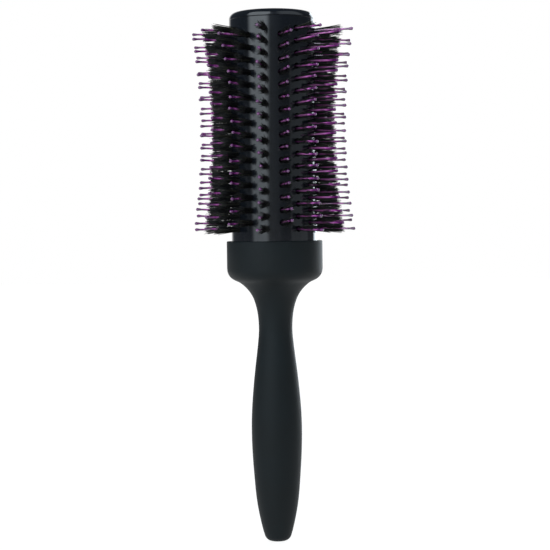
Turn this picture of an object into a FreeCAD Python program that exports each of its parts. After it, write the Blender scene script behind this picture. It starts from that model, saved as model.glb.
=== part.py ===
import FreeCAD, Part
import math
import os

# Round barrel brush, 1:1 in millimetres. +Z runs up the axis from the handle's butt (Z = 0) to the end cap.
# A gloss barrel carries 264 tufts, each seated in its own blind hole: a fanned boar bundle with one nylon pin
# in its middle. An end cap plugs the barrel's top. Its foot sits in the collar of a soft-skinned handle, whose
# hard hexagonal core keys the barrel against turning and takes the screw that holds it.

# --- driving dimensions ---------------------------------------------------------------------------------
BRUSH_LENGTH = 247.2      # butt to the top of the end cap
HANDLE_LENGTH = 141.2     # butt to the rim of the collar
BARREL_D = 40.0           # gloss barrel, outside
BARREL_WALL = 6.0         # deep enough for blind tuft holes
GRIP_D = 23.7             # widest part of the grip
NECK_D = 15.8             # narrowest part, under the collar

BUTT_FLAT_D = 5.6         # flat that the brush can stand on
BUTT_ROUND_R = 3.6        # radius between the butt's flat and the grip
BUTT_TURN_DEG = 73.0      # how far that round turns
COLLAR_WALL = 2.4         # collar beyond the barrel's own radius
COLLAR_DEPTH = 12.8       # straight outside wall of the collar
COLLAR_ROUND_R = 6.0      # radius between the collar and the neck's flare
COLLAR_TURN_DEG = 66.0    # how far that round turns
LIP_CHAMFER = 0.5         # broken edge of the collar's rim
GRIP_SWEEP = (            # between butt and collar: (share of the swell beyond the neck, share of the height)
    (0.08, 0.068),
    (0.34, 0.108),
    (0.58, 0.162),
    (0.82, 0.245),
    (1.00, 0.378),
    (0.73, 0.512),
    (0.30, 0.617),
    (0.00, 0.723),
    (0.50, 0.803),
    (1.18, 0.837),
    (2.20, 0.863),
)

CUP_DEPTH = 12.0          # barrel hidden in the collar
CORE_END = 24.0           # skin under the core's lower end
CORE_GRIP_AF = 13.5       # hexagonal core in the grip, across flats
CORE_NECK_AF = 10.5       # the same in the neck and in the barrel
CORE_TAPER = (0.50, 0.62)  # shares of the handle's length between which the core tapers
SOCKET_DEPTH = 8.0        # core's end inside the barrel's foot
WEB_T = 3.0               # barrel's cross wall that the screw clamps

CAP_RIM_T = 3.4           # end cap above the barrel's top edge
CAP_ROUND_R = 3.0         # rounded rim of the end cap
CAP_PLUG_L = 7.0          # cap's plug inside the barrel
CAP_PLUG_WALL = 2.0

SCREW_D = 4.0
SCREW_L = 16.0            # under the head
SCREW_HEAD_AF = 7.0
SCREW_HEAD_H = 2.8
WASHER_D = 11.0
WASHER_T = 1.0

COLUMNS = 16              # tuft columns round the barrel
ROWS = 17                 # tufts in a long column; its neighbours hold one less, half a pitch lower
FIELD_MARGIN = 5.6        # first and last tuft from the ends of the open barrel
HOLE_SIDE = 3.2           # square tuft hole
HOLE_DEPTH = 4.2
LAND_EDGE = 0.2           # flat land beyond each side of a hole
BOAR_LENGTH = 8.4         # boar above the barrel at the waist of the trimmed field
PIN_PROUD = 5.9           # pins beyond the boar
FIELD_FLARE = 3.7         # tufts and pins this much longer at the field's ends
TIP_FILL = 0.75           # width of a fanned tuft's tip as a share of the row pitch
PIN_ROOT_R = 0.42         # three-sided pin, centre to corner
PIN_BALL_R = 0.75         # the same at its thickened tip
PIN_NOSE = 0.7            # blunt point beyond the thickest place

# --- clearances -----------------------------------------------------------------------------------------
SLIDE = 0.10              # between faces that slide together
SKIN_GAP = 0.05           # skin to core, and screw to pilot hole
SOCKET_GAP = 0.20         # core's end to the web, so that the barrel seats on the cup's floor
TUFT_GAP = 0.15           # tuft to the sides of its hole
PIN_GAP = 0.15            # pin to the boar round it

# --- facets ---------------------------------------------------------------------------------------------
ROUND_SIDES = 40          # turned pieces are lofted through rings of this many sides, to stay light
BORE_SIDES = 24           # the same for hidden hollows
SMALL_SIDES = 12          # the same for the screw and its holes
CURVE_CHORD = 0.11        # farthest a curved outline may leave its chords

# --- derived --------------------------------------------------------------------------------------------
barrel_r = BARREL_D / 2
bore_r = barrel_r - BARREL_WALL
collar_r = barrel_r + COLLAR_WALL
collar_z = HANDLE_LENGTH - COLLAR_DEPTH           # collar's round ends, its straight wall starts
seat_z = HANDLE_LENGTH - CUP_DEPTH                # barrel's foot on the cup's floor
web_z = seat_z + SOCKET_DEPTH
seam_z = BRUSH_LENGTH - CAP_RIM_T                 # barrel's top edge under the cap
row_pitch = (seam_z - HANDLE_LENGTH - 2 * FIELD_MARGIN) / (ROWS - 1)
field_mid = (seam_z + HANDLE_LENGTH) / 2
field_half = row_pitch * (ROWS - 1) / 2
field_arc = (field_half ** 2 + FIELD_FLARE ** 2) / (2 * FIELD_FLARE)    # radius of the hourglass trim
land_half = HOLE_SIDE / 2 + LAND_EDGE
land_x = math.sqrt(barrel_r ** 2 - land_half ** 2)
floor_x = land_x - HOLE_DEPTH

UP = FreeCAD.Vector(0, 0, 1)
ORIGIN = FreeCAD.Vector(0, 0, 0)


# --- helpers --------------------------------------------------------------------------------------------
def point(r, z):
    """A point of a half section, or a place on the axis."""
    return FreeCAD.Vector(r, 0, z)


def ring(radius, z, sides):
    """Corners of a regular polygon round the axis."""
    turns = [2 * math.pi * i / sides for i in range(sides)]
    return [FreeCAD.Vector(radius * math.cos(a), radius * math.sin(a), z) for a in turns]


def flat(corners):
    return Part.Face(Part.makePolygon(corners + corners[:1]))


def closed_solid(faces):
    solid = Part.Solid(Part.Shell(faces))
    return solid if solid.Volume > 0 else solid.reversed()


def lofted(rings):
    """A solid through matching rings of corners, with a flat end at each end ring of three corners or more."""
    faces = [flat(end) for end in (rings[0], rings[-1]) if len(end) > 2]
    for low, high in zip(rings, rings[1:]):
        for i in range(len(low)):
            side = [low[i - 1], low[i]] + ([high[i], high[i - 1]] if len(high) > 1 else high)
            faces.append(flat(side))
    return closed_solid(faces)


def turned_solid(section, sides):
    """A turned solid through the half section's points, from its lower end to its upper end."""
    return lofted([ring(p.x, p.z, sides) for p in section])


def prism(across_flats, z, height, sides):
    corner_r = across_flats / 2 / math.cos(math.pi / sides)
    return lofted([ring(corner_r, z, sides), ring(corner_r, z + height, sides)])


def rod(diameter, z, height):
    """A thin round bar or the cutter for its hole."""
    return prism(diameter, z, height, SMALL_SIDES)


def disc(radius, z, height):
    return Part.makeCylinder(radius, height, point(0, z))


def about_axis(shape, angle):
    """A copy turned about Z by an angle in degrees."""
    copy = shape.copy()
    copy.rotate(ORIGIN, UP, angle)
    return copy


def quarter_round(radius, centre_r, centre_z, start_deg, end_deg):
    """Arc of a half section; 0 degrees points outwards and 90 up."""
    turns = [math.radians(a) for a in (start_deg, (start_deg + end_deg) / 2, end_deg)]
    return Part.Arc(*[point(centre_r + radius * math.cos(a), centre_z + radius * math.sin(a)) for a in turns])


def sampled(curves):
    """Points along joined curves, as few as the chord limit allows."""
    points = []
    for curve in curves:
        points += curve.toShape().discretize(Deflection=CURVE_CHORD)[bool(points):]
    return points


# --- tuft field -----------------------------------------------------------------------------------------
def column_rows(column):
    """Heights of a column's tufts: long and short columns take turns, staggered by half a pitch."""
    short = column % 2
    first = field_mid + field_half - short * row_pitch / 2
    return [first - row_pitch * i for i in range(ROWS - short)]


def column_angle(column):
    """The first column stands half a step to the left of the front."""
    return -90 + (column - 0.5) * 360 / COLUMNS


def trim(z):
    """Extra tuft length at a height: an arc that leaves a waist at the field's middle."""
    return field_arc - math.sqrt(field_arc ** 2 - (z - field_mid) ** 2)


def boar_tuft(z):
    """A bundle that fans out from its hole, with a V left open for the pin and a trimmed, slanting tip."""
    tip_x = barrel_r + BOAR_LENGTH + trim(z)
    mouth_half = HOLE_SIDE / 2 - TUFT_GAP
    tip_half = TIP_FILL * row_pitch / 2
    spread = (tip_half - mouth_half) / (tip_x - land_x)
    root_half = mouth_half - spread * HOLE_DEPTH
    slant = math.tan(math.asin((z - field_mid) / field_arc))
    notch = -(PIN_ROOT_R + 2 * PIN_GAP) / root_half
    base = []
    top = []
    for side, up in ((-1, -1), (1, -1), (1, 1), (0, notch), (-1, 1)):
        reach = (tip_x - floor_x + slant * up * root_half) / (1 - slant * up * spread)
        half = root_half + spread * reach
        base.append(FreeCAD.Vector(floor_x, side * root_half, z + up * root_half))
        top.append(FreeCAD.Vector(floor_x + reach, side * half, z + up * half))
    return lofted([base, top])


def nylon_pin(z):
    """A stiff pin that stands on the floor of its hole and thickens to a blunt tip."""
    tip_x = barrel_r + BOAR_LENGTH + PIN_PROUD + trim(z)
    rings = []
    for x, radius in ((floor_x, PIN_ROOT_R), (tip_x - PIN_NOSE, PIN_BALL_R)):
        turns = [math.radians(-90 + 120 * i) for i in range(3)]
        rings.append([FreeCAD.Vector(x, radius * math.cos(a), z + radius * math.sin(a)) for a in turns])
    return lofted(rings + [[FreeCAD.Vector(tip_x, 0, z)]])


def column_of(make, column):
    """One column of tufts or pins as a group of separate solids."""
    pieces = Part.makeCompound([make(z) for z in column_rows(column)])
    return about_axis(pieces, column_angle(column))


def tuft_holes():
    """For every column, a flat land along the barrel and a blind square hole for each tuft."""
    clear = 2 * (barrel_r - land_x)
    cutters = []
    for column in range(COLUMNS):
        start = FreeCAD.Vector(land_x, -barrel_r, seat_z)
        boxes = [Part.makeBox(clear, 2 * barrel_r, seam_z - seat_z, start)]
        for z in column_rows(column):
            corner = FreeCAD.Vector(floor_x, -HOLE_SIDE / 2, z - HOLE_SIDE / 2)
            boxes.append(Part.makeBox(HOLE_DEPTH + clear, HOLE_SIDE, HOLE_SIDE, corner))
        cutters += [about_axis(box, column_angle(column)) for box in boxes]
    return Part.makeCompound(cutters)


# --- rigid pieces ---------------------------------------------------------------------------------------
def barrel():
    """Gloss tube with a solid foot, which has a socket for the core, and a hole for every tuft."""
    body = disc(barrel_r, seat_z, seam_z - seat_z)
    body = body.cut(disc(bore_r, web_z + WEB_T, seam_z))
    body = body.cut(prism(CORE_NECK_AF + 2 * SLIDE, seat_z, SOCKET_DEPTH, 6))
    body = body.cut(rod(SCREW_D + 2 * SLIDE, web_z, WEB_T))
    return body.cut(tuft_holes())


def core_body(gap, top_z):
    """Hexagonal core, wider in the grip; the skin's cavity is the same body made larger by a gap."""
    sections = [
        (CORE_GRIP_AF, CORE_END),
        (CORE_GRIP_AF, CORE_TAPER[0] * HANDLE_LENGTH),
        (CORE_NECK_AF, CORE_TAPER[1] * HANDLE_LENGTH),
        (CORE_NECK_AF, top_z),
    ]
    corner = 1 / math.cos(math.pi / 6)
    return lofted([ring((af / 2 + gap) * corner, z, 6) for af, z in sections])


def handle_core():
    """Hard core with a pilot hole for the screw in its upper end."""
    top_z = web_z - SOCKET_GAP
    pilot_l = SCREW_L + SCREW_D / 2
    return core_body(0, top_z).cut(rod(SCREW_D, web_z - pilot_l, pilot_l))


def handle_outline():
    """Half section of the handle's outside: butt, grip, neck and collar in one sweep."""
    swell = (GRIP_D - NECK_D) / 2
    butt = quarter_round(BUTT_ROUND_R, BUTT_FLAT_D / 2, BUTT_ROUND_R, -90, BUTT_TURN_DEG - 90)
    collar = quarter_round(COLLAR_ROUND_R, collar_r - COLLAR_ROUND_R, collar_z, -COLLAR_TURN_DEG, 0)
    sweep = [point(NECK_D / 2 + share * swell, height * HANDLE_LENGTH) for share, height in GRIP_SWEEP]
    side = Part.BSplineCurve()
    side.interpolate(
        Points=[butt.EndPoint] + sweep + [collar.StartPoint],
        InitialTangent=point(math.cos(math.radians(BUTT_TURN_DEG)), math.sin(math.radians(BUTT_TURN_DEG))),
        FinalTangent=point(math.sin(math.radians(COLLAR_TURN_DEG)), math.cos(math.radians(COLLAR_TURN_DEG))),
    )
    rim = [point(collar_r, HANDLE_LENGTH - LIP_CHAMFER), point(collar_r - LIP_CHAMFER, HANDLE_LENGTH)]
    return sampled([butt, side, collar]) + rim


def handle_grip():
    """Soft-touch skin, moulded round the core, with a cup for the barrel's foot."""
    body = turned_solid(handle_outline(), ROUND_SIDES)
    body = body.cut(disc(barrel_r + SLIDE, seat_z, CUP_DEPTH))
    return body.cut(core_body(SKIN_GAP, seat_z))


def end_cap():
    """Cap with a rounded rim that covers the barrel's edge, and a hollow plug."""
    rim = sampled([quarter_round(CAP_ROUND_R, barrel_r - CAP_ROUND_R, BRUSH_LENGTH - CAP_ROUND_R, 0, 90)])
    lid = turned_solid([point(barrel_r, seam_z)] + rim, ROUND_SIDES)
    plug_r = bore_r - SLIDE
    plug = turned_solid([point(plug_r, seam_z - CAP_PLUG_L), point(plug_r, seam_z)], ROUND_SIDES)
    return lid.fuse(plug).cut(prism(2 * (plug_r - CAP_PLUG_WALL), seam_z - CAP_PLUG_L, CAP_PLUG_L, BORE_SIDES))


def barrel_screw():
    """Hexagon-head screw; its thread is left smooth."""
    under_head = web_z + WEB_T + WASHER_T
    shank = rod(SCREW_D - 2 * SKIN_GAP, under_head - SCREW_L, SCREW_L)
    return prism(SCREW_HEAD_AF, under_head, SCREW_HEAD_H, 6).fuse(shank)


def barrel_washer():
    """Washer that spreads the screw's load on the barrel's web."""
    plate = prism(WASHER_D, web_z + WEB_T, WASHER_T, BORE_SIDES)
    return plate.cut(rod(SCREW_D + 2 * SLIDE, web_z + WEB_T, WASHER_T))


# --- export ---------------------------------------------------------------------------------------------
os.makedirs("parts", exist_ok=True)
handle_grip().exportStep("parts/handle_grip.step")
handle_core().exportStep("parts/handle_core.step")
barrel().exportStep("parts/barrel.step")
barrel_screw().exportStep("parts/barrel_screw.step")
barrel_washer().exportStep("parts/barrel_washer.step")
end_cap().exportStep("parts/end_cap.step")
for number in range(COLUMNS):
    column_of(boar_tuft, number).exportStep("parts/boar_tufts_%02d.step" % (number + 1))
    column_of(nylon_pin, number).exportStep("parts/nylon_pins_%02d.step" % (number + 1))
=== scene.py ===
# %% [markdown]
# # A round barrel brush, dressed for a picture
#
# A stylist's round brush is a plastic barrel full of bristle tufts on a slim, rubbery handle. The
# engineering model already fixes every size, so this lesson only adds what that model leaves plain: round
# turned surfaces, thousands of bristles, ball-tipped pins, and finishes that catch the light as the real
# ones do. The first cell loads the model, and every later place starts from it.

# %% Load the engineering model
import math

import bpy
from mathutils import Matrix, Vector


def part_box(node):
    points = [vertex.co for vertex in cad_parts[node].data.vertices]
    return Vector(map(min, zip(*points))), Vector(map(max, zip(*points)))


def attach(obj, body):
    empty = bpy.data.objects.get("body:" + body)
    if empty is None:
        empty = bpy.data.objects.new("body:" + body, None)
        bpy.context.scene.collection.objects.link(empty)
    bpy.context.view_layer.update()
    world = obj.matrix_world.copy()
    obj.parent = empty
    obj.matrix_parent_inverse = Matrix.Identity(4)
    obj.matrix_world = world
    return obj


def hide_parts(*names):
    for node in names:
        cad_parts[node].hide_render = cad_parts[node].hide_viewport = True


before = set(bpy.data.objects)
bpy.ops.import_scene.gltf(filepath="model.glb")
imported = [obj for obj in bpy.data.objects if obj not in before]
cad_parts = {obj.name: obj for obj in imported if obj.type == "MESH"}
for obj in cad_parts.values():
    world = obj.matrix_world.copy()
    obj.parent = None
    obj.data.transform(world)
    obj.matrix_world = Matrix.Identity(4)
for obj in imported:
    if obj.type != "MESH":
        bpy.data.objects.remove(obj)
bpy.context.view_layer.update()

# %% [markdown]
# ## Sizes that the pieces share
#
# The box of a node gives its lowest and highest corners. From the boxes of the barrel, the cap and the
# handle come the radius and the heights below. The tuft pattern is a rule: sixteen columns stand round the
# barrel, long and short columns take turns, and a short one starts half a pitch lower, so the tufts stand
# in quincunx.

# %% Measure the model
MM = 0.001
COLUMNS = 16
LONG_ROWS = 17

barrel_low, barrel_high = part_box("barrel")
barrel_r = barrel_high.x
rim_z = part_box("handle_grip")[1].z
seam_z = barrel_high.z
top_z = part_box("end_cap")[1].z

FIELD_MARGIN = 5.6 * MM
pitch = (seam_z - rim_z - 2 * FIELD_MARGIN) / (LONG_ROWS - 1)
field_mid = (seam_z + rim_z) / 2
print(f"barrel radius {barrel_r / MM:.1f} mm, row pitch {pitch / MM:.2f} mm")


def column_angle(column):
    """Where a column stands round the axis; the first is half a step to the left of the front."""
    return math.radians(-90 + (column - 0.5) * 360 / COLUMNS)


def column_heights(column):
    """Heights of a column's tufts, from the cap down."""
    short = column % 2
    first = field_mid + pitch * (LONG_ROWS - 1 - short) / 2
    return [first - pitch * row for row in range(LONG_ROWS - short)]


tuft_count = sum(len(column_heights(column)) for column in range(COLUMNS))
print("tufts:", tuft_count)

# %% [markdown]
# ## One helper for every node
#
# Materials and Geometry Nodes are both trees of nodes. One small function adds a node, sets its options and
# fills its inputs. An input that is given another node, or one of its outputs, becomes a link. A colour
# ramp takes its stops in the same call. Colours are written as the sRGB hex values that a painter would
# read off a colour chart, and a second function turns them to the linear values that the renderer works in.


# %% Node and colour helpers
def colour(hex_value):
    """Turns an sRGB hex value to linear RGBA."""
    channels = [int(hex_value[i:i + 2], 16) / 255 for i in (1, 3, 5)]
    return [c / 12.92 if c <= 0.04045 else ((c + 0.055) / 1.055) ** 2.4 for c in channels] + [1.0]


def node(tree, kind, inputs=None, stops=(), **options):
    """Adds a node; an input's value may be a plain value, another node or another node's output."""
    made = tree.nodes.new(kind)
    for name, value in options.items():
        setattr(made, name, value)
    for key, value in (inputs or {}).items():
        if isinstance(value, bpy.types.Node):
            value = next(socket for socket in value.outputs if socket.enabled)
        if isinstance(value, bpy.types.NodeSocket):
            tree.links.new(value, made.inputs[key])
        else:
            made.inputs[key].default_value = value
    for place, hex_value in stops:
        if place in (stops[0][0], stops[-1][0]):
            element = made.color_ramp.elements[0 if place == stops[0][0] else -1]
            element.position = place
        else:
            element = made.color_ramp.elements.new(place)
        element.color = colour(hex_value)
    return made


def finish_of(name, build, **sockets):
    """A material: its tree is built on a Principled shader, whose plain values are set on its own sockets."""
    material = bpy.data.materials.new(name)
    material.use_nodes = True
    tree = material.node_tree
    shader = tree.nodes["Principled BSDF"]
    place = node(tree, "ShaderNodeTexCoord").outputs["Object"]
    for label, value in sockets.items():
        shader.inputs[label.replace("_", " ")].default_value = value
    for label, made in build(tree, place).items():
        tree.links.new(made.outputs[0], shader.inputs[label])
    print("finish:", name)
    return material


print("mid grey in linear light:", round(colour("#808080")[0], 3))

# %% [markdown]
# ## Soft-touch elastomer, moulded
#
# The handle wears a thin skin of thermoplastic elastomer. It is a dark charcoal with a faint blue cast, and
# its surface is eroded in the mould, so light spreads into one broad, dull sheen with no sharp highlight.
# Handling polishes it a little in patches. A fine noise bump stands for the eroded grain: the real grain is
# about 0.05 mm, drawn here at 0.3 mm so that it shows. Elastomer reflects less than a hard gloss plastic.


# %% Soft-touch skin
def soft_touch(tree, place):
    patches = node(tree, "ShaderNodeTexNoise", {"Vector": place, "Scale": 1 / (18 * MM), "Detail": 3.0})
    grain = node(tree, "ShaderNodeTexNoise", {"Vector": place, "Scale": 1 / (0.3 * MM), "Detail": 2.0})
    return {
        "Base Color": node(tree, "ShaderNodeValToRGB", {0: patches}, stops=[
            (0.3, "#0d1416"), (0.7, "#121a1d")]),
        "Roughness": node(tree, "ShaderNodeMapRange", {"Value": patches, "To Min": 0.55, "To Max": 0.65}),
        "Normal": node(tree, "ShaderNodeBump", {"Height": grain, "Strength": 0.12, "Distance": 0.02 * MM}),
    }


skin_finish = finish_of("soft_touch_elastomer_charcoal", soft_touch,
                        IOR=1.48, Specular_IOR_Level=0.22)

# %% [markdown]
# ## Polished ABS, moulded
#
# The barrel and its cap are black ABS from a polished mould. ABS reflects about four per cent of the light
# that meets it head on and nearly all of it at a glancing angle, which is why the barrel is black in front
# and bright at its edges. Two small faults keep it from looking computed: a very shallow waviness from
# uneven cooling, about 6 mm across, and hair-fine wiping marks along the barrel, which raise the roughness
# here and there. They are drawn 1.2 mm wide, so that they show.


# %% Gloss barrel plastic
def polished(tree, place):
    stretch = node(tree, "ShaderNodeMapping", {"Vector": place, "Scale": (1.0, 1.0, 0.15)})
    wiping = node(tree, "ShaderNodeTexNoise", {"Vector": stretch, "Scale": 1 / (1.2 * MM), "Detail": 4.0})
    waves = node(tree, "ShaderNodeTexNoise", {"Vector": place, "Scale": 1 / (6 * MM), "Detail": 1.0})
    return {
        "Roughness": node(tree, "ShaderNodeMapRange", {"Value": wiping, "To Min": 0.04, "To Max": 0.18}),
        "Normal": node(tree, "ShaderNodeBump", {"Height": waves, "Strength": 0.10, "Distance": 0.1 * MM}),
    }


barrel_finish = finish_of("polished_abs_black", polished, Base_Color=colour("#11151b"), IOR=1.53)

# %% [markdown]
# ## Boar bristle
#
# Boar bristle is a natural hair: black, with a paler olive strand here and there, and a dull sheen along
# its length. Each strand carries a random value of its own, stored while it is made, and the material reads
# it to give every strand its own tone. A mottle of about 2 mm runs through them, as on any natural hair.

# %% Bristle
MOTTLE_SHARE = 0.2


def bristle(tree, place):
    strand = node(tree, "ShaderNodeAttribute", attribute_name="strand_tone")
    mottle = node(tree, "ShaderNodeTexNoise", {"Vector": place, "Scale": 1 / (2 * MM), "Detail": 2.0})
    mixed = node(tree, "ShaderNodeMath", {0: mottle, 1: MOTTLE_SHARE, 2: strand.outputs["Fac"]},
                 operation="MULTIPLY_ADD")
    return {
        "Base Color": node(tree, "ShaderNodeValToRGB", {0: mixed}, stops=[
            (0.1, "#1d1e20"), (0.9, "#242524"), (1.0, "#3d3c33")]),
    }


bristle_finish = finish_of("boar_bristle_black", bristle,
                           Roughness=0.32, IOR=1.55, Specular_IOR_Level=0.12)

# %% [markdown]
# ## Dyed nylon
#
# The pins are extruded nylon in a magenta-purple dye, each with its end melted to a ball so that it glides
# over the scalp. Nylon is slightly cloudy: some light goes in and comes out lilac, which a little
# subsurface scattering gives. The ball is the thickest place, so its dye looks deepest. The shaft behind it
# lets the light through and is light lilac; further down it is painted darker, a painted shade for the
# shadow that the tufts cast on it among the bristles. A value called root, which runs along each pin from 0
# at its neck to 1 on the hole's floor, places these colours. A clear coat gives the melted skin its gloss,
# so that each ball holds one small highlight.

# %% Pin nylon
CLOUD_SHARE = 0.2


def dyed_with_painted_shade(tree, place):
    root = node(tree, "ShaderNodeAttribute", attribute_name="root").outputs["Fac"]
    cloud = node(tree, "ShaderNodeTexNoise", {"Vector": place, "Scale": 1 / (2 * MM), "Detail": 2.0})
    mixed = node(tree, "ShaderNodeMath", {0: cloud, 1: CLOUD_SHARE, 2: root}, operation="MULTIPLY_ADD")
    return {
        # Colour along the pin: the ball deepest in dye, a light lilac neck, then painted shade that darkens
        # the shaft towards its root, where the tufts shade it.
        "Base Color": node(tree, "ShaderNodeValToRGB", {0: mixed}, stops=[
            (0.1, "#6c226c"), (0.2, "#bc52b0"), (0.3, "#f68ee4"), (0.5, "#dc7ac8"), (0.8, "#4c1f48")]),
        "Roughness": node(tree, "ShaderNodeMapRange", {"Value": cloud, "To Min": 0.10, "To Max": 0.20}),
    }


pin_finish = finish_of(
    "dyed_nylon_with_painted_shade", dyed_with_painted_shade, IOR=1.53, Coat_Weight=0.7, Coat_Roughness=0.05, Coat_IOR=1.65,
    Subsurface_Weight=0.3, Subsurface_Scale=0.4 * MM, Subsurface_Radius=(1.0, 0.5, 1.0))

# %% [markdown]
# ## Hidden pieces
#
# The core inside the handle is glass-filled nylon, and the screw and washer that hold the barrel are
# zinc-plated steel. Nobody sees them in the finished brush, but each still has the finish of the real one.
# The short glass fibres give the core a speckle, drawn at 0.8 mm, which is coarser than they are. The plate
# is dull in patches of about 1.5 mm.


# %% Core plastic and zinc plate
def glass_filled(tree, place):
    fibres = node(tree, "ShaderNodeTexNoise", {"Vector": place, "Scale": 1 / (0.8 * MM), "Detail": 5.0})
    return {
        "Base Color": node(tree, "ShaderNodeValToRGB", {0: fibres}, stops=[
            (0.4, "#1a1a1c"), (0.65, "#2b2b2e")]),
    }


def plated(tree, place):
    dull = node(tree, "ShaderNodeTexNoise", {"Vector": place, "Scale": 1 / (1.5 * MM), "Detail": 2.0})
    return {"Roughness": node(tree, "ShaderNodeMapRange", {"Value": dull, "To Min": 0.20, "To Max": 0.45})}


core_finish = finish_of("glass_filled_nylon_black", glass_filled, Roughness=0.55)
screw_finish = finish_of("zinc_plated_steel", plated, Base_Color=colour("#c3c6c8"), Metallic=1.0)
hidden = {"handle_core": core_finish, "barrel_screw": screw_finish, "barrel_washer": screw_finish}
for name, finish in hidden.items():
    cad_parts[name].data.materials.clear()
    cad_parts[name].data.materials.append(finish)

# %% [markdown]
# ## Turned pieces
#
# The handle, the barrel and the cap are all turned forms. A lathe function spins an outline of (radius,
# height) pairs round the axis, with enough sides to look round.

# %% Lathe
SIDES = 128
SHARP_TURN = math.radians(35)


def lathe(name, outline, segments, finish):
    """Spins an outline of (radius, height) pairs round Z, counter-clockwise as seen in the section.

    A radius of zero makes a closed pole, and an outline that ends where it starts makes a closed ring."""
    vertices = []
    rings = []
    for radius, height in outline:
        if len(rings) == len(outline) - 1 and outline[0] == outline[-1]:
            rings.append(rings[0])
            break
        count = segments if radius > 0 else 1
        rings.append(list(range(len(vertices), len(vertices) + count)))
        for step in range(count):
            turn = 2 * math.pi * step / segments
            vertices.append((radius * math.cos(turn), radius * math.sin(turn), height))
    faces = []
    for low, high in zip(rings, rings[1:]):
        for step in range(segments):
            after = (step + 1) % segments
            corners = [low[step % len(low)], low[after % len(low)],
                       high[after % len(high)], high[step % len(high)]]
            faces.append(list(dict.fromkeys(corners)))
    mesh = bpy.data.meshes.new(name)
    mesh.from_pydata(vertices, [], [face for face in faces if len(face) > 2], shade_flat=False)
    mesh.materials.append(finish)
    mesh.set_sharp_from_angle(angle=SHARP_TURN)
    made = bpy.data.objects.new(name, mesh)
    bpy.context.collection.objects.link(made)
    print(f"{name}: {len(mesh.polygons)} faces")
    return made


print("sides of a turned piece:", SIDES)

# %% [markdown]
# A moulded edge is never quite sharp, so an outline turns its corners with short arcs. The handle's outline
# is read from the engineering model: each of its rings of corners gives one pair. A smooth curve through
# those pairs, sampled finely, then takes away the flat steps that the engineering model keeps to stay
# light.

# %% Arcs, and the handle's rings
FULL_RING = 100
SAME = 0.01 * MM


def round_edge(centre_r, centre_z, radius, start_deg, end_deg, steps):
    """Points of an arc in an outline; 0 degrees points outwards and 90 up."""
    turns = [math.radians(start_deg + (end_deg - start_deg) * i / steps) for i in range(steps + 1)]
    return [(centre_r + radius * math.cos(a), centre_z + radius * math.sin(a)) for a in turns]


def ring_outline(name):
    """Reads a turned node's outside as (radius, height) pairs, from the bottom up.

    Only a level with a full ring of corners, all at one radius, belongs to the outside."""
    levels = {}
    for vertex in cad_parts[name].data.vertices:
        levels.setdefault(round(vertex.co.z, 6), []).append(math.hypot(vertex.co.x, vertex.co.y))
    full = {z: radii for z, radii in levels.items()
            if len(radii) > FULL_RING and max(radii) - min(radii) < SAME}
    return [(max(full[z]), z) for z in sorted(full)]


print("grip outline rings:", len(ring_outline("handle_grip")))

# %% [markdown]
# ## The handle
#
# On the real brush the handle is one flowing form: a rounded butt, a grip that swells to the palm, a slim
# neck and a collar that the barrel drops into. The fixed heights come from the engineering outline. Between
# them a Catmull-Rom curve is sampled, which passes through every given point and stays smooth. The straight
# wall of the collar, its broken rim and the cup behind it are added as they are, so that the cup is open.


# %% Smooth the outline and turn the handle
def smooth_through(points, steps):
    """A Catmull-Rom curve through the points, with a number of steps between each pair.

    Between two points it is a blend of blends: three lines, then two curves, then the one that is kept."""
    before, after = [[2 * end - inner for end, inner in zip(*pair)]
                     for pair in ((points[0], points[1]), (points[-1], points[-2]))]
    padded = [before] + points + [after]
    curve = []
    for around in zip(padded, padded[1:], padded[2:], padded[3:]):
        knots = [0.0]
        for near, far in zip(around, around[1:]):
            knots.append(knots[-1] + math.dist(near, far) ** 0.5)
        for i in range(steps):
            at = knots[1] + (knots[2] - knots[1]) * i / steps
            level = around
            for spans in (((0, 1), (1, 2), (2, 3)), ((0, 2), (1, 3)), ((1, 2),)):
                shares = [(at - knots[start]) / (knots[end] - knots[start]) for start, end in spans]
                level = [[near * (1 - share) + far * share for near, far in zip(*pair)]
                         for share, pair in zip(shares, zip(level, level[1:]))]
            curve.append(tuple(level[0]))
    return curve + [points[-1]]


CURVE_STEPS = 4
LIP_STEPS = 6
LIP = 0.5 * MM
SLIDE = 0.1 * MM
rings = ring_outline("handle_grip")
collar_r = max(radius for radius, height in rings)
straight_from = next(i for i, pair in enumerate(rings) if pair[0] > collar_r - SAME)
swept = smooth_through(rings[:straight_from + 1], CURVE_STEPS)
cup_floor = barrel_low.z
lip = round_edge(collar_r - LIP, rim_z - LIP, LIP, 0, 90, LIP_STEPS)
cup_wall = [(barrel_r + SLIDE, rim_z), (barrel_r + SLIDE, cup_floor), (0.0, cup_floor)]
handle = lathe("handle_skin", [(0.0, 0.0)] + swept + lip + cup_wall, SIDES, skin_finish)

# %% [markdown]
# ## Barrel blank and end cap
#
# The barrel is moulded as a tube with a cross wall near its foot, so its outline runs up the outside, over
# the top edge, down the bore and back through the foot. The cap covers the top edge and plugs the bore.
# Both have a small bevel where they meet, which draws the fine dark line that separates them.

# %% Turn the barrel blank and the cap
WALL = 6.0 * MM
WEB = 3.0 * MM
PLUG_DEPTH = 7.0 * MM
PLUG_WALL = 2.0 * MM
CAP_ROUND = 3.0 * MM
CAP_STEPS = 10
BEVEL = 0.2 * MM
SOCKET_R = 6.2 * MM
SCREW_HOLE_R = 2.1 * MM
BARREL_SIDES = 160

bore_r = barrel_r - WALL
web_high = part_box("barrel_washer")[0].z
web_low = web_high - WEB
foot = [(SOCKET_R, web_low), (SOCKET_R, cup_floor), (barrel_r - BEVEL, cup_floor)]
outside = [(barrel_r, cup_floor + BEVEL), (barrel_r, seam_z - BEVEL), (barrel_r - BEVEL, seam_z)]
inside = [(bore_r, seam_z), (bore_r, web_high), (SCREW_HOLE_R, web_high), (SCREW_HOLE_R, web_low)]
blank = lathe("barrel_blank", foot + outside + inside + foot[:1], BARREL_SIDES, barrel_finish)

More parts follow.
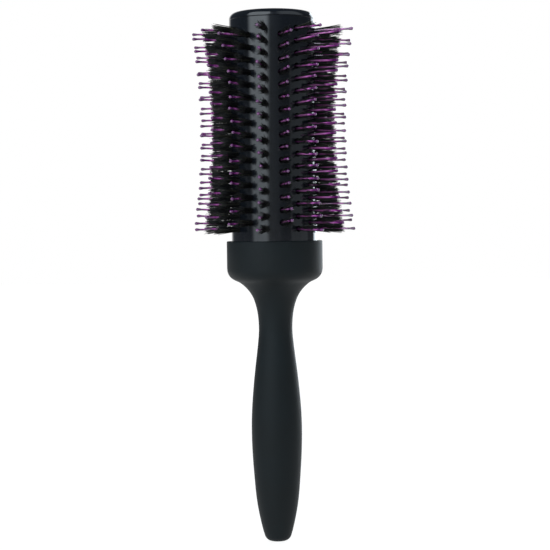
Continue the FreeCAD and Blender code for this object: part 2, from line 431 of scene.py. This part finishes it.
plug_r = bore_r - SLIDE
plug = [(0.0, seam_z), (plug_r - PLUG_WALL, seam_z), (plug_r - PLUG_WALL, seam_z - PLUG_DEPTH)]
plug += [(plug_r, seam_z - PLUG_DEPTH), (plug_r, seam_z)]
rim = [(barrel_r - BEVEL, seam_z), (barrel_r, seam_z + BEVEL)]
rim += round_edge(barrel_r - CAP_ROUND, top_z - CAP_ROUND, CAP_ROUND, 0, 90, CAP_STEPS)
cap = lathe("cap_shell", plug + rim + [(0.0, top_z)], SIDES, barrel_finish)

# %% [markdown]
# ## Points for what repeats
#
# Holes, bristles and pins all start from the same points: one for each tuft. The points of a column stand
# at the same distance from the axis, and may be shifted aside of the middle of their holes.


# %% Points of the tufts
def outward(column):
    """The direction straight out from the axis through a column."""
    return Vector((math.cos(column_angle(column)), math.sin(column_angle(column)), 0.0))


def aside(column):
    """The level direction along the barrel's surface; at the front it points to the left."""
    return outward(column).cross((0.0, 0.0, 1.0))


def tuft_points(columns, radius, shift=0.0):
    """One point for each tuft of some columns, at a distance from the axis and shifted aside of the hole."""
    points = []
    for column in columns:
        place = radius * outward(column) + shift * aside(column)
        points += [(place.x, place.y, z) for z in column_heights(column)]
    return points


print("points:", len(tuft_points(range(COLUMNS), barrel_r)))

# %% [markdown]
# ## A tree, and the step that runs it
#
# A Geometry Nodes tree does the same work at every point. Each tree gets its sizes through named inputs, so
# that they can be tried by hand in the modifier panel. When a tree has done its work, its result is kept as
# a plain mesh and the modifier goes.


# %% Start, end and run a tree
def new_tree(name, sizes):
    """An empty Geometry Nodes tree with named inputs; gives the tree and its input node."""
    tree = bpy.data.node_groups.new(name, "GeometryNodeTree")
    tree.interface.new_socket("Geometry", in_out="INPUT", socket_type="NodeSocketGeometry")
    tree.interface.new_socket("Geometry", in_out="OUTPUT", socket_type="NodeSocketGeometry")
    for label, kind in sizes.items():
        tree.interface.new_socket(label, in_out="INPUT", socket_type="NodeSocket" + kind)
    return tree, node(tree, "NodeGroupInput")


def finished(tree, geometry, sizes):
    """Ends a tree: nothing stays an instance, and the finish is set."""
    real = node(tree, "GeometryNodeRealizeInstances", {0: geometry})
    dressed = node(tree, "GeometryNodeSetMaterial", {0: real, "Material": sizes.outputs["Finish"]})
    node(tree, "NodeGroupOutput", {0: dressed})
    print(f"tree {tree.name}: {len(tree.nodes)} nodes")


def grow(name, tree, points, settings):
    """Runs a tree on some points and keeps the result as a plain mesh."""
    start = bpy.data.meshes.new(name + "_points")
    start.from_pydata(points, [], [])
    piece = bpy.data.objects.new(name, start)
    bpy.context.collection.objects.link(piece)
    modifier = piece.modifiers.new("grow", "NODES")
    modifier.node_group = tree
    for item in tree.interface.items_tree:
        if item.name in settings:
            modifier[item.identifier] = settings[item.name]
    evaluated = piece.evaluated_get(bpy.context.evaluated_depsgraph_get())
    piece.data = bpy.data.meshes.new_from_object(evaluated)
    piece.data.name = name
    piece.data.materials.clear()
    piece.data.materials.append(settings["Finish"])
    piece.modifiers.clear()
    return piece


print("trees so far:", len(bpy.data.node_groups))

# %% [markdown]
# ## The barrel's holes
#
# Each tuft is stapled into a blind hole that is drilled or moulded square to the surface. A round cutter,
# half of it in the wall, stands at every point, and a Boolean takes all of them from the blank in one go.
# Its manifold solver is quick, and needs closed bodies, which both are.


# %% Cut the holes
def hole_tree():
    tree, sizes = new_tree("tuft_holes", {"Blank": "Object", "Hole Radius": "Float", "Hole Depth": "Float",
                                          "Sides": "Int", "Finish": "Material"})
    blank_mesh = node(tree, "GeometryNodeObjectInfo", {0: sizes.outputs["Blank"]}).outputs["Geometry"]
    reach = node(tree, "ShaderNodeMath", {0: sizes.outputs["Hole Depth"], 1: 2.0}, operation="MULTIPLY")
    cutter = node(tree, "GeometryNodeMeshCylinder", {"Vertices": sizes.outputs["Sides"], "Depth": reach,
                                                     "Radius": sizes.outputs["Hole Radius"]})
    place = node(tree, "GeometryNodeInputPosition")
    level = node(tree, "ShaderNodeVectorMath", {0: place, 1: (1.0, 1.0, 0.0)}, operation="MULTIPLY")
    turn = node(tree, "FunctionNodeAlignRotationToVector", {"Vector": level}, axis="Z")
    cutters = node(tree, "GeometryNodeInstanceOnPoints", {0: sizes.outputs[0], "Instance": cutter,
                                                          "Rotation": turn})
    solid = node(tree, "GeometryNodeRealizeInstances", {0: cutters})
    cut = node(tree, "GeometryNodeMeshBoolean", {0: blank_mesh, 1: solid}, operation="DIFFERENCE",
               solver="MANIFOLD")
    finished(tree, cut, sizes)
    return tree


HOLE_R = 1.45 * MM
HOLE_DEPTH = 4.2 * MM
HOLE_SIDES = 14
barrel = grow("barrel_shell", hole_tree(), tuft_points(range(COLUMNS), barrel_r), {
    "Blank": blank, "Hole Radius": HOLE_R, "Hole Depth": HOLE_DEPTH, "Sides": HOLE_SIDES,
    "Finish": barrel_finish})
bpy.data.objects.remove(blank)
print(f"barrel_shell: {len(barrel.data.polygons)} faces after cutting")

# %% [markdown]
# A cut surface usually shades badly, because the corners of its long thin faces blend their directions, and
# a gloss finish shows that as dents. So every corner of a face on the outside gets the direction that a
# true round tube has there.

# %% Smooth the cut surface
OUTSIDE = 0.99
NEAR = 0.1 * MM
true_corners = 0
mesh = barrel.data
mesh.shade_smooth()
mesh.set_sharp_from_angle(angle=SHARP_TURN)
directions = [corner.vector.copy() for corner in mesh.corner_normals]
for face in mesh.polygons:
    around = Vector((face.center.x, face.center.y, 0.0)).normalized()
    if face.normal.dot(around) > OUTSIDE and Vector(face.center.xy).length > barrel_r - NEAR:
        for corner in face.loop_indices:
            place = mesh.vertices[mesh.loops[corner].vertex_index].co
            directions[corner] = Vector((place.x, place.y, 0.0)).normalized()
            true_corners += 1
mesh.normals_split_custom_set(directions)
print(f"corners set to a true tube: {true_corners} of {len(directions)}")

# %% [markdown]
# ## Boar tufts
#
# A tuft is a bundle of boar bristles, folded in two and stapled into its hole. They fan out as they rise, a
# little more up and down than sideways, and they crowd on the side of the hole away from the pin, which
# needs the rest of it. The first step sets out the roots: every tuft point is copied once for each strand,
# and each copy gets its place on the hole's floor, its length and its lean. The tips are trimmed to one
# long arc, which leaves the field a little shorter at its waist. Small random differences in length,
# thickness and lean are what make it hair and not a comb, and a rare strand strays far from the rest. Each
# random value has a seed of its own: the tree's seed plus its place in the list.

# %% Random values of a strand
STRANDS = 84
WILD = 0.45 * MM
FULL_TURN = 2 * math.pi
DRAWS = (("share", 0.08, 1.0), ("turn", 0.0, FULL_TURN), ("uneven", -1.0, 0.6), ("tone", 0.0, 1.0),
         ("spin", 0.0, FULL_TURN), ("thick", 0.75, 1.2), ("wild", (-WILD,) * 3, (WILD,) * 3))


def random_draws(tree, size):
    """One random value for each line of the list, by its label; a strand's wildness is a vector."""
    draw = {}
    for number, (label, low, high) in enumerate(DRAWS):
        seed = node(tree, "ShaderNodeMath", {0: size["Seed"], 1: float(number)}, operation="ADD")
        first, kind = (0, "FLOAT_VECTOR") if label == "wild" else (2, "FLOAT")
        draw[label] = node(tree, "FunctionNodeRandomValue", {first: low, first + 1: high, "Seed": seed},
                           data_type=kind)
    return draw


print("strands in all:", STRANDS * tuft_count)

# %% [markdown]
# The tips of bristles and pins are trimmed to one long arc: the shortest at the waist of the field, and
# longer towards its ends by the square of the way there. Both trees measure with it.

# %% Trim to the arc
BOAR_LENGTH = 8.6 * MM
FLARE = 3.7 * MM


def trimmed(tree, height, size):
    """Length at a height: the shortest at the waist of the field, and the whole flare more at its ends."""
    off = node(tree, "ShaderNodeMath", {0: height, 1: size["Waist Height"]}, operation="SUBTRACT")
    share = node(tree, "ShaderNodeMath", {0: off, 1: size["Half Field"]}, operation="DIVIDE")
    square = node(tree, "ShaderNodeMath", {0: share, 1: share}, operation="MULTIPLY")
    return node(tree, "ShaderNodeMath", {0: square, 1: size["Flare"], 2: size["Length"]},
                operation="MULTIPLY_ADD")


print(f"bristles stand {BOAR_LENGTH / MM:.1f} mm proud at the waist, and {FLARE / MM:.1f} more at the ends")

# %% [markdown]
# A root's place is found as on a dial: a random turn, and a random share of the way out, whose square root
# spreads the roots evenly. The sine of the turn moves it on, which crowds the roots on one side. The lean
# of a strand follows its place on the floor, so that the bundle opens as it rises, and its tone, raised to
# a high power, picks the few that stray.

# %% Set out the roots
STRAY_RARITY = 12.0


def root_place(tree, size, draw):
    """Where a strand's root is on the hole's floor, measured from its middle."""
    side = node(tree, "ShaderNodeVectorMath", {0: (0.0, 0.0, 1.0), 1: size["Outward"]},
                operation="CROSS_PRODUCT")
    share = node(tree, "ShaderNodeMath", {0: draw["share"]}, operation="SQRT")
    spot = node(tree, "ShaderNodeMath", {0: share, 1: size["Root Spread"]}, operation="MULTIPLY")
    across = node(tree, "ShaderNodeVectorMath", {0: side, "Scale": spot}, operation="SCALE")
    swing = node(tree, "ShaderNodeMath", {0: draw["turn"]}, operation="SINE")
    crowd = node(tree, "ShaderNodeMath", {0: swing, 1: size["Crowding"]}, operation="MULTIPLY")
    crowded = node(tree, "ShaderNodeMath", {0: draw["turn"], 1: crowd}, operation="SUBTRACT")
    return node(tree, "ShaderNodeVectorRotate", {"Vector": across, "Axis": size["Outward"],
                                                 "Angle": crowded})


def set_out(tree, size, draw):
    """Copies each tuft point for its strands, and stores on every copy its offset, lean, rise and tone."""
    many = node(tree, "GeometryNodeDuplicateElements", {0: size[0], "Amount": size["Strands"]},
                domain="POINT")
    offset = root_place(tree, size, draw)
    rare = node(tree, "ShaderNodeMath", {0: draw["tone"], 1: STRAY_RARITY}, operation="POWER")
    loose = node(tree, "ShaderNodeMath", {0: rare, 1: size["Stray"], 2: 1.0}, operation="MULTIPLY_ADD")
    wild = node(tree, "ShaderNodeVectorMath", {0: draw["wild"], "Scale": loose}, operation="SCALE")
    lean = node(tree, "ShaderNodeVectorMath", {0: offset, 1: size["Fan"], 2: wild}, operation="MULTIPLY_ADD")
    place = node(tree, "GeometryNodeInputPosition")
    tip = node(tree, "ShaderNodeVectorMath", {0: place, 1: lean}, operation="ADD")
    even = trimmed(tree, node(tree, "ShaderNodeSeparateXYZ", {0: tip}).outputs["Z"], size)
    length = node(tree, "ShaderNodeMath", {0: draw["uneven"], 1: size["Uneven"], 2: even},
                  operation="MULTIPLY_ADD")
    rise = node(tree, "ShaderNodeVectorMath", {0: size["Outward"], "Scale": length}, operation="SCALE")
    stored = many
    for label, kind, value in (("rise", "FLOAT_VECTOR", rise), ("offset", "FLOAT_VECTOR", offset),
                               ("lean", "FLOAT_VECTOR", lean), ("strand_tone", "FLOAT", draw["tone"])):
        stored = node(tree, "GeometryNodeStoreNamedAttribute", {0: stored, "Name": label, "Value": value},
                      data_type=kind, domain="POINT")
    kept = node(tree, "GeometryNodeInputNamedAttribute", {"Name": "offset"}, data_type="FLOAT_VECTOR")
    return node(tree, "GeometryNodeSetPosition", {0: stored, "Offset": kept})


print("share of strands that stray halfway or more:", round(1 - 0.5 ** (1 / STRAY_RARITY), 3))

# %% [markdown]
# The second step stands a strand on every root. One straight, tapering, three-sided strand is the pattern
# for all of them. Its own height, raised to a power, is stored on it before it is copied, so that after the
# copies are real each of its rings can be pushed sideways by that much of its lean, which bends the strand
# as a springy hair bends. A random turn about its own length keeps the sides of the copies from facing
# alike.

# %% Bristle tree
CURL = 1.5
TAPER = 0.6


def strand_pattern(tree):
    """A strand of length and radius 1 that carries its own bend at each of its rings."""
    strand = node(tree, "GeometryNodeMeshCone", {"Vertices": 3, "Side Segments": 3, "Depth": 1.0,
                                                 "Radius Top": TAPER, "Radius Bottom": 1.0})
    place = node(tree, "GeometryNodeInputPosition")
    height = node(tree, "ShaderNodeSeparateXYZ", {0: place}).outputs["Z"]
    curl = node(tree, "ShaderNodeMath", {0: height, 1: CURL}, operation="POWER")
    return node(tree, "GeometryNodeStoreNamedAttribute", {0: strand, "Name": "bend", "Value": curl},
                data_type="FLOAT", domain="POINT")


def stand(tree, roots, strand, size, draw):
    """Stands a real copy of the strand on every root, along its rise and as long."""
    spin = node(tree, "FunctionNodeAxisAngleToRotation", {"Axis": (0.0, 0.0, 1.0), "Angle": draw["spin"]})
    rise = node(tree, "GeometryNodeInputNamedAttribute", {"Name": "rise"}, data_type="FLOAT_VECTOR")
    turn = node(tree, "FunctionNodeAlignRotationToVector", {"Rotation": spin, "Vector": rise}, axis="Z")
    thick = node(tree, "ShaderNodeMath", {0: size["Strand Radius"], 1: draw["thick"]}, operation="MULTIPLY")
    reach = node(tree, "ShaderNodeVectorMath", {0: rise}, operation="LENGTH")
    scale = node(tree, "ShaderNodeCombineXYZ", {0: thick, 1: thick, 2: reach})
    strands = node(tree, "GeometryNodeInstanceOnPoints", {0: roots, "Instance": strand, "Rotation": turn,
                                                          "Scale": scale})
    return node(tree, "GeometryNodeRealizeInstances", {0: strands})


def bristle_tree():
    tree, sizes = new_tree("boar_tuft", {
        "Outward": "Vector", "Strands": "Int", "Root Spread": "Float", "Crowding": "Float", "Fan": "Vector",
        "Length": "Float", "Flare": "Float", "Waist Height": "Float", "Half Field": "Float",
        "Strand Radius": "Float", "Uneven": "Float", "Stray": "Float", "Seed": "Int", "Finish": "Material"})
    size = sizes.outputs
    draw = random_draws(tree, size)
    strands = stand(tree, set_out(tree, size, draw), strand_pattern(tree), size, draw)
    lean = node(tree, "GeometryNodeInputNamedAttribute", {"Name": "lean"}, data_type="FLOAT_VECTOR")
    bend = node(tree, "GeometryNodeInputNamedAttribute", {"Name": "bend"}, data_type="FLOAT")
    push = node(tree, "ShaderNodeVectorMath", {0: lean, "Scale": bend}, operation="SCALE")
    bent = node(tree, "GeometryNodeSetPosition", {0: strands, "Offset": push})
    finished(tree, node(tree, "GeometryNodeSetShadeSmooth", {0: bent}), sizes)
    return tree


tuft_tree = bristle_tree()

# %% [markdown]
# The tree runs once for each column, with a seed of its own. The tufts are set aside in their holes,
# against the wall. Two columns right of the front are slimmer, and the barrel's bright edge glints between
# their tufts. A real boar bristle is 0.1 to 0.2 mm thick. A strand is drawn a little coarser, so that it
# shows: each of its three sides is about 0.24 mm wide at the root.

# %% Grow the tufts
TUFT_ASIDE = -0.45 * MM
ROOT_SPREAD = 1.0 * MM
TIGHTER = {2: 0.75, 3: 0.65}
CROWDING = 0.65
FAN = (1.0, 1.0, 1.1)
STRAND_R = 0.14 * MM
UNEVEN = 1.2 * MM
STRAY = 3.0
SEED_STEP = 100
floor_r = barrel_r - HOLE_DEPTH
field = {"Flare": FLARE, "Waist Height": field_mid, "Half Field": pitch * (LONG_ROWS - 1) / 2}
tufts = []
for column in range(COLUMNS):
    points = tuft_points([column], floor_r, TUFT_ASIDE)
    tufts.append(grow(f"boar_bristles_{column + 1:02d}", tuft_tree, points, field | {
        "Outward": outward(column), "Strands": STRANDS, "Crowding": CROWDING, "Fan": FAN,
        "Root Spread": ROOT_SPREAD * TIGHTER.get(column, 1.0), "Length": HOLE_DEPTH + BOAR_LENGTH,
        "Strand Radius": STRAND_R, "Uneven": UNEVEN, "Stray": STRAY, "Seed": SEED_STEP * column,
        "Finish": bristle_finish}))
print("bristle faces in all:", sum(len(tuft.data.polygons) for tuft in tufts))

# %% [markdown]
# ## Ball-tipped pins
#
# One pin shares the hole of each tuft, beside its bristles. Its pattern is turned once: a short shaft, a
# neck that widens, and a ball. Every pin is a copy of it, with the ball at the right distance from the
# barrel.

# %% Turn the pin's pattern
PIN_R = 0.46 * MM
BALL_R = 0.76 * MM
NECK = 1.8 * MM
STUB = 3.0 * MM
BALL_FROM_DEG = -20
BALL_STEPS = 4
PIN_SIDES = 8
ball = round_edge(0.0, 0.0, BALL_R, BALL_FROM_DEG, 90, BALL_STEPS)[:-1]
shaft = [(0.0, -STUB), (PIN_R, -STUB), (PIN_R, -NECK)]
pattern = lathe("pin_pattern", shaft + ball + [(0.0, BALL_R)], PIN_SIDES, pin_finish)

# %% [markdown]
# The first half of the tree finds each ball's place. The real pins are never quite square to the barrel, so
# each gets a small random tilt, and a column may have its upper pins lean aside.

# %% Find the balls' places
LEAN_POWER = 2.0


def way_to_ball(tree, size):
    """The vector from a pin's point to its ball: tilted, and as long as the trimmed length at its height."""
    place = node(tree, "GeometryNodeInputPosition")
    height = node(tree, "ShaderNodeSeparateXYZ", {0: place}).outputs["Z"]
    uneven = node(tree, "FunctionNodeRandomValue", {0: (-1.0,) * 3, 1: (1.0,) * 3, "Seed": size["Seed"]},
                  data_type="FLOAT_VECTOR")
    tilt = node(tree, "ShaderNodeVectorMath", {0: uneven, "Scale": size["Tilt"]}, operation="SCALE")
    top_row = node(tree, "ShaderNodeMath", {0: size["Waist Height"], 1: size["Half Field"]}, operation="ADD")
    above = node(tree, "ShaderNodeMapRange", {"Value": height, "From Min": size["Waist Height"],
                                              "From Max": top_row})
    steep = node(tree, "ShaderNodeMath", {0: above, 1: LEAN_POWER}, operation="POWER")
    tilt = node(tree, "ShaderNodeVectorMath", {0: size["Top Lean"], 1: steep, 2: tilt},
                operation="MULTIPLY_ADD")
    leaning = node(tree, "ShaderNodeVectorMath", {0: size["Outward"], 1: tilt}, operation="ADD")
    direction = node(tree, "ShaderNodeVectorMath", {0: leaning}, operation="NORMALIZE")
    return node(tree, "ShaderNodeVectorMath", {0: direction, "Scale": trimmed(tree, height, size)},
                operation="SCALE")


print("pins in all:", tuft_count)

# %% [markdown]
# The second half stands the copies there. The shaft's root ring is then pulled down to the floor of the
# hole, so that the ball keeps its size whatever the length. The mark that finds the root ring is also what
# the nylon's colours and its painted shade follow: it runs from 0 at the neck to 1 at the root.


# %% Pin tree
def marked_pin(tree, size):
    """The pattern, with its root ring marked 1 and the rest 0."""
    pin = node(tree, "GeometryNodeObjectInfo", {0: size["Pattern"]}).outputs["Geometry"]
    place = node(tree, "GeometryNodeInputPosition")
    height = node(tree, "ShaderNodeSeparateXYZ", {0: place}).outputs["Z"]
    root = node(tree, "ShaderNodeMath", {0: height, 1: -(NECK + STUB) / 2}, operation="LESS_THAN")
    return node(tree, "GeometryNodeStoreNamedAttribute", {0: pin, "Name": "root", "Value": root},
                data_type="FLOAT", domain="POINT")


def root_drop(tree, size, along):
    """How far a marked corner has to move to reach the floor of the hole."""
    root = node(tree, "GeometryNodeInputNamedAttribute", {"Name": "root"}, data_type="FLOAT")
    whole = node(tree, "ShaderNodeVectorMath", {0: along}, operation="LENGTH")
    missing = node(tree, "ShaderNodeMath", {0: size["Stub"], 1: whole}, operation="SUBTRACT")
    pull = node(tree, "ShaderNodeMath", {0: missing, 1: root}, operation="MULTIPLY")
    direction = node(tree, "ShaderNodeVectorMath", {0: along}, operation="NORMALIZE")
    return node(tree, "ShaderNodeVectorMath", {0: direction, "Scale": pull}, operation="SCALE")


def pin_tree():
    tree, sizes = new_tree("nylon_pin", {
        "Outward": "Vector", "Top Lean": "Vector", "Pattern": "Object", "Stub": "Float", "Length": "Float",
        "Flare": "Float", "Waist Height": "Float", "Half Field": "Float", "Tilt": "Float", "Seed": "Int",
        "Finish": "Material"})
    size = sizes.outputs
    way = way_to_ball(tree, size)
    stored = node(tree, "GeometryNodeStoreNamedAttribute", {0: size[0], "Name": "along", "Value": way},
                  data_type="FLOAT_VECTOR", domain="POINT")
    along = node(tree, "GeometryNodeInputNamedAttribute", {"Name": "along"}, data_type="FLOAT_VECTOR")
    tips = node(tree, "GeometryNodeSetPosition", {0: stored, "Offset": along})
    turn = node(tree, "FunctionNodeAlignRotationToVector", {"Vector": along}, axis="Z")
    pins = node(tree, "GeometryNodeInstanceOnPoints", {0: tips, "Instance": marked_pin(tree, size),
                                                       "Rotation": turn})
    real = node(tree, "GeometryNodeRealizeInstances", {0: pins})
    grown = node(tree, "GeometryNodeSetPosition", {0: real, "Offset": root_drop(tree, size, along)})
    finished(tree, node(tree, "GeometryNodeSetShadeSmooth", {0: grown}), sizes)
    return tree


nylon_tree = pin_tree()

# %% [markdown]
# Each pin stands aside of its hole's middle, opposite the bristles, and leans back towards it by three
# degrees as it rises. In one column, left of the front, the upper pins lean further aside.

# %% Grow the pins
PIN_PROUD = 5.2 * MM
PIN_ASIDE = 0.7 * MM
PIN_SWEEP = -0.052
PIN_TILT = 0.045
TOP_LEAN = {15: 0.22}
pins = []
for column in range(COLUMNS):
    points = tuft_points([column], floor_r, PIN_ASIDE)
    pins.append(grow(f"ball_pins_{column + 1:02d}", nylon_tree, points, field | {
        "Outward": outward(column) + PIN_SWEEP * aside(column),
        "Top Lean": TOP_LEAN.get(column, 0.0) * aside(column), "Tilt": PIN_TILT, "Pattern": pattern,
        "Stub": STUB, "Length": HOLE_DEPTH + BOAR_LENGTH + PIN_PROUD, "Seed": SEED_STEP * column,
        "Finish": pin_finish}))
bpy.data.objects.remove(pattern)
print("pin faces in all:", sum(len(group.data.polygons) for group in pins))

# %% [markdown]
# ## Hang every piece on the body
#
# Every piece rides on the one rigid body, and the engineering node whose place it takes is hidden.

declared = [(handle, "handle_grip", "soft_grip"), (barrel, "barrel", "gloss_barrel"),
            (cap, "end_cap", "gloss_cap")]
for column in range(COLUMNS):
    declared.append((tufts[column], f"boar_tufts_{column + 1:02d}", "boar_bristle"))
    declared.append((pins[column], f"nylon_pins_{column + 1:02d}", "pin_nylon"))
for piece, cad_node, slot in declared:
    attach(piece, "root")
    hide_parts(cad_node)
print("pieces:", len(declared))

# %% [markdown]
# ## Floor
#
# The brush stands on its butt on a sheet of matt white vinyl, whose sheen varies over about 4 mm. The
# camera and the gloss surfaces see the sheet glow white, and the light that falls on it is added in mid
# grey. The glow is a little under white round the brush and rises outwards, which leaves room for the
# brush's shadow.

# %% Lay the floor
FLOOR_R = 3.0
FLOOR_SIDES = 64
SHADE_R, WHITE_R = 0.25, 1.2
SHADE_GLOW = 0.92


def white_floor(tree, place):
    speckle = node(tree, "ShaderNodeTexNoise", {"Vector": place, "Scale": 1 / (4 * MM)})
    return {"Roughness": node(tree, "ShaderNodeMapRange", {"Value": speckle, "To Min": 0.7, "To Max": 0.8})}


def seen_directly(tree, path):
    """1 for what the camera sees, also through clear things, and 0 for the rest."""
    return node(tree, "ShaderNodeMath", {0: path["Is Camera Ray"], 1: path["Is Transmission Ray"]},
                operation="MAXIMUM")


floor_finish = finish_of("matt_white_vinyl", white_floor, Base_Color=colour("#696969"))
tree = floor_finish.node_tree
path = node(tree, "ShaderNodeLightPath").outputs
seen = node(tree, "ShaderNodeMath", {0: seen_directly(tree, path), 1: path["Is Glossy Ray"]},
            operation="MAXIMUM")
place = node(tree, "ShaderNodeTexCoord").outputs["Object"]
away = node(tree, "ShaderNodeVectorMath", {0: place}, operation="LENGTH").outputs["Value"]
level = node(tree, "ShaderNodeMapRange", {"Value": away, "From Min": SHADE_R, "From Max": WHITE_R,
                                          "To Min": SHADE_GLOW}, interpolation_type="SMOOTHSTEP")
glow = node(tree, "ShaderNodeMath", {0: seen, 1: level}, operation="MULTIPLY")
shader = tree.nodes["Principled BSDF"]
shader.inputs["Emission Color"].default_value = colour("#ffffff")
tree.links.new(glow.outputs[0], shader.inputs["Emission Strength"])

bpy.ops.mesh.primitive_circle_add(vertices=FLOOR_SIDES, radius=FLOOR_R, fill_type="NGON")
floor = bpy.context.object
floor.name = "studio_floor"
floor.data.materials.append(floor_finish)
print("floor radius, metres:", FLOOR_R)

# %% [markdown]
# ## Cove
#
# A white cove closes the room behind the brush. Gloss black is only as bright as what it mirrors, so the
# cove draws thin bright edges on the barrel, and the dim room in front keeps it black between them. Near
# the floor the room is a little brighter. The camera sees all of it as white.

# %% Light the world
COVE_FROM, COVE_FULL = 0.80, 0.92
BAND_TOP, BAND_FULL = 0.16, 0.02
BAND_LEVEL = 0.05
world = bpy.data.worlds.new("white_cove")
bpy.context.scene.world = world
world.use_nodes = True
tree = world.node_tree
direction = node(tree, "ShaderNodeTexCoord").outputs["Generated"]
way = node(tree, "ShaderNodeSeparateXYZ", {0: direction}).outputs
cove = node(tree, "ShaderNodeMapRange", {"Value": way["Y"], "From Min": COVE_FROM, "From Max": COVE_FULL},
            interpolation_type="SMOOTHSTEP")
low = node(tree, "ShaderNodeMapRange", {"Value": way["Z"], "From Min": BAND_TOP, "From Max": BAND_FULL,
                                        "To Max": BAND_LEVEL}, interpolation_type="SMOOTHSTEP")
bright = node(tree, "ShaderNodeMath", {0: cove, 1: low}, operation="MAXIMUM")
seen = seen_directly(tree, node(tree, "ShaderNodeLightPath").outputs)
level = node(tree, "ShaderNodeMath", {0: bright, 1: seen}, operation="MAXIMUM")
hue = node(tree, "ShaderNodeValToRGB", {0: level}, stops=[(0.0, "#535961"), (1.0, "#ffffff")])
tree.links.new(hue.outputs[0], tree.nodes["Background"].inputs["Color"])
print("world:", world.name)

# %% [markdown]
# ## Softboxes
#
# The key light is a tall softbox to the left of the camera, and what the barrel shows of it is the stripe.
# Three things in it are shaped: its sides fade, it grows narrower towards its foot, and the lower part is
# dimmer. All three are a pattern on the lamp's own face, whose Parametric coordinate runs from its left to
# its right and from its foot to its top.

# %% Shape a softbox's light
CAP_MIRRORS = 0.38
FOOT_MIRRORS = 0.03


def lamp_pattern(tree, heights, fade, taper, foot):
    """The strength over a lamp's face: fading sides, a narrower lower part, and dimmer towards its foot."""
    tall = heights[1] - heights[0]
    cap_level = (CAP_MIRRORS - heights[0]) / tall
    foot_level = (FOOT_MIRRORS - heights[0]) / tall
    face = node(tree, "ShaderNodeNewGeometry").outputs["Parametric"]
    spot = node(tree, "ShaderNodeSeparateXYZ", {0: face}).outputs
    off = node(tree, "ShaderNodeMath", {0: spot["X"], 1: -0.5}, operation="ADD")
    off = node(tree, "ShaderNodeMath", {0: off}, operation="ABSOLUTE")
    width = node(tree, "ShaderNodeMath", {0: spot["Y"], 1: taper * tall, 2: 1 - taper * tall * cap_level},
                 operation="MULTIPLY_ADD")
    off = node(tree, "ShaderNodeMath", {0: off, 1: width}, operation="DIVIDE")
    edge = node(tree, "ShaderNodeMapRange", {"Value": off, "From Min": 0.5, "From Max": 0.5 - fade},
                interpolation_type="SMOOTHSTEP")
    drop = node(tree, "ShaderNodeMapRange", {"Value": spot["Y"], "From Min": foot_level,
                                             "From Max": cap_level, "To Min": foot})
    return node(tree, "ShaderNodeMath", {0: edge, 1: drop}, operation="MULTIPLY")


print(f"the cap mirrors a height of {CAP_MIRRORS} m, and the barrel's foot one of {FOOT_MIRRORS} m")

# %% [markdown]
# The other four are weaker or smaller. A faint spill in front softens the stripe's right side, a fill
# lights the tufts on the right, one behind on the right draws a rim of light, and a high one lights the
# cap's rounded edge. All are a little blue, as daylight is.

# %% Hang the softboxes
DAYLIGHT = colour("#ecf7ff")[:3]


def softbox(name, azimuths, heights, distance, radiance, fade=0.01, taper=0.0, foot=1.0):
    """A flat upright lamp that faces the brush between two azimuths; 0 is the camera's side, plus its right.

    Its light fades away at both sides over a share of its width. With a taper it is as wide as its azimuths
    at the height that the cap mirrors, and narrower below by that share for each metre. From there down to
    the height that the foot mirrors it dims to a share."""
    middle, half = math.radians(sum(azimuths) / 2), math.radians(azimuths[1] - azimuths[0]) / 2
    lamp = bpy.data.lights.new(name, "AREA")
    lamp.shape = "RECTANGLE"
    lamp.size = 2 * distance * math.tan(half)
    lamp.size_y = heights[1] - heights[0]
    lamp.energy = radiance * math.pi * lamp.size * lamp.size_y
    lamp.color = DAYLIGHT
    lamp.use_nodes = True
    strength = lamp_pattern(lamp.node_tree, heights, fade, taper, foot)
    lamp.node_tree.links.new(strength.outputs[0], lamp.node_tree.nodes["Emission"].inputs["Strength"])
    made = bpy.data.objects.new(name, lamp)
    bpy.context.collection.objects.link(made)
    made.location = (distance * math.sin(middle), -distance * math.cos(middle), sum(heights) / 2)
    made.rotation_euler = (math.pi / 2, 0.0, middle)
    made.visible_camera = False
    print(f"{name}: {lamp.energy:.1f} W")


softbox("key_softbox", (-70, -4), (-0.30, 1.60), distance=1.0, radiance=2.9, fade=0.24, taper=1.0, foot=0.35)
softbox("spill_softbox", (-46, 28), (-0.30, 1.60), distance=1.1, radiance=0.22, fade=0.5)
softbox("fill_softbox", (45, 100), (-0.35, 0.35), distance=1.2, radiance=0.30)
softbox("rim_softbox", (130, 164), (-0.40, 0.80), distance=1.2, radiance=4.6)
softbox("high_softbox", (8, 98), (0.50, 2.20), distance=1.2, radiance=0.80, fade=0.3)

# %% [markdown]
# ## Camera
#
# The camera stands a little above the collar, a good arm's length away, with a long lens that looks down by
# two degrees. It is rolled a little, so the brush leans to the left at its top.

# %% Place the camera
LENS_LENGTH = 100.2
DISTANCE = 0.717
HEIGHT = 0.1512
DOWN_DEG = 2.08
ROLL_DEG = -0.71
lens = bpy.data.cameras.new("portrait_lens")
lens.lens = LENS_LENGTH
camera = bpy.data.objects.new("camera", lens)
bpy.context.collection.objects.link(camera)
look_down = Matrix.Rotation(math.pi / 2 - math.radians(DOWN_DEG), 4, "X")
roll = Matrix.Rotation(math.radians(ROLL_DEG), 4, "Z")
camera.matrix_world = Matrix.Translation((0.0, -DISTANCE, HEIGHT)) @ look_down @ roll
bpy.context.scene.camera = camera
print(f"camera: {math.degrees(lens.angle):.1f} degrees wide")

# %% [markdown]
# ## Colour view
#
# The Standard view shows a colour about as it is written.

# %% Set the colour view
bpy.context.scene.view_settings.view_transform = "Standard"
